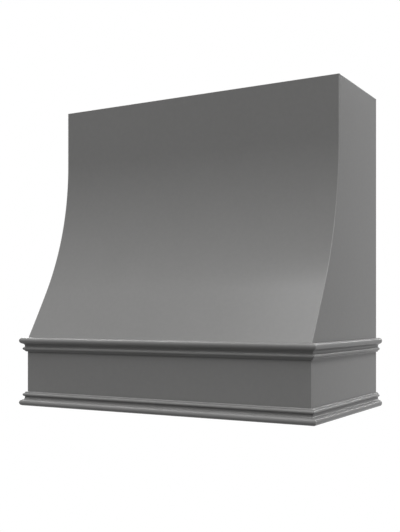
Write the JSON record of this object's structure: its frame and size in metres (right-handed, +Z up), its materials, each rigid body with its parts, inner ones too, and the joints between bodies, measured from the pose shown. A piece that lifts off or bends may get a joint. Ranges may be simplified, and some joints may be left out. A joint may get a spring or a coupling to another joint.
{
  "type": "range hood cover",
  "caption": "Wall-hung wooden range hood cover with a front that curves forward onto a plain band between mitred mouldings, open below and behind.",
  "frame": {"origin": "centre of the bottom of the bounding box, under the hood's bottom edge", "axes": "+X to the viewer's right along the front, +Y into the wall, +Z up"},
  "size_m": [0.95, 0.52, 0.914],
  "materials": {
    "grey_lacquer": "satin dark grey paint, sprayed, no grain showing",
    "plywood": "bare birch plywood, sanded",
    "poplar": "bare planed poplar",
    "zinc_screw": "yellowish zinc plate"
  },
  "bodies": {
    "wall_side": {"wall_cleat": "poplar"},
    "hood": {"back_ledger": "poplar", "back_ledger_screw_1": "zinc_screw", "back_ledger_screw_2": "zinc_screw", "back_ledger_screw_3": "zinc_screw", "back_left_block": "poplar", "back_right_block": "poplar", "belly_rail": "poplar", "belly_rail_screw_left_1": "zinc_screw", "belly_rail_screw_right_1": "zinc_screw", "curved_front_panel": "grey_lacquer", "former_left": "plywood", "former_left_screw_back": "zinc_screw", "former_left_screw_front": "zinc_screw", "former_right": "plywood", "former_right_screw_back": "zinc_screw", "former_right_screw_front": "zinc_screw", "front_apron": "grey_lacquer", "front_ledger": "poplar", "front_ledger_screw_1": "zinc_screw", "front_ledger_screw_2": "zinc_screw", "front_ledger_screw_3": "zinc_screw", "front_left_block": "poplar", "front_right_block": "poplar", "hanging_rail": "poplar", "hanging_rail_screw_left_1": "zinc_screw", "hanging_rail_screw_left_2": "zinc_screw", "hanging_rail_screw_right_1": "zinc_screw", "hanging_rail_screw_right_2": "zinc_screw", "hood_cleat": "poplar", "hood_cleat_screw_1": "zinc_screw", "hood_cleat_screw_2": "zinc_screw", "hood_cleat_screw_3": "zinc_screw", "hood_cleat_screw_4": "zinc_screw", "left_ledger": "poplar", "left_ledger_screw_1": "zinc_screw", "left_ledger_screw_2": "zinc_screw", "left_side_panel": "grey_lacquer", "lower_back_rail": "poplar", "lower_back_rail_screw_left_1": "zinc_screw", "lower_back_rail_screw_left_2": "zinc_screw", "lower_back_rail_screw_right_1": "zinc_screw", "lower_back_rail_screw_right_2": "zinc_screw", "lower_trim_front": "grey_lacquer", "lower_trim_left": "grey_lacquer", "lower_trim_right": "grey_lacquer", "right_ledger": "poplar", "right_ledger_screw_1": "zinc_screw", "right_ledger_screw_2": "zinc_screw", "right_side_panel": "grey_lacquer", "top_front_rail": "poplar", "top_front_rail_screw_left_1": "zinc_screw", "top_front_rail_screw_left_2": "zinc_screw", "top_front_rail_screw_right_1": "zinc_screw", "top_front_rail_screw_right_2": "zinc_screw", "upper_trim_front": "grey_lacquer", "upper_trim_left": "grey_lacquer", "upper_trim_right": "grey_lacquer"}
  },
  "joints": [
    {"name": "hood_lift", "type": "slide", "parent": "wall_side", "child": "hood", "axis": [0, 0, 1], "range_m": [0, 0.03]}
  ]
}
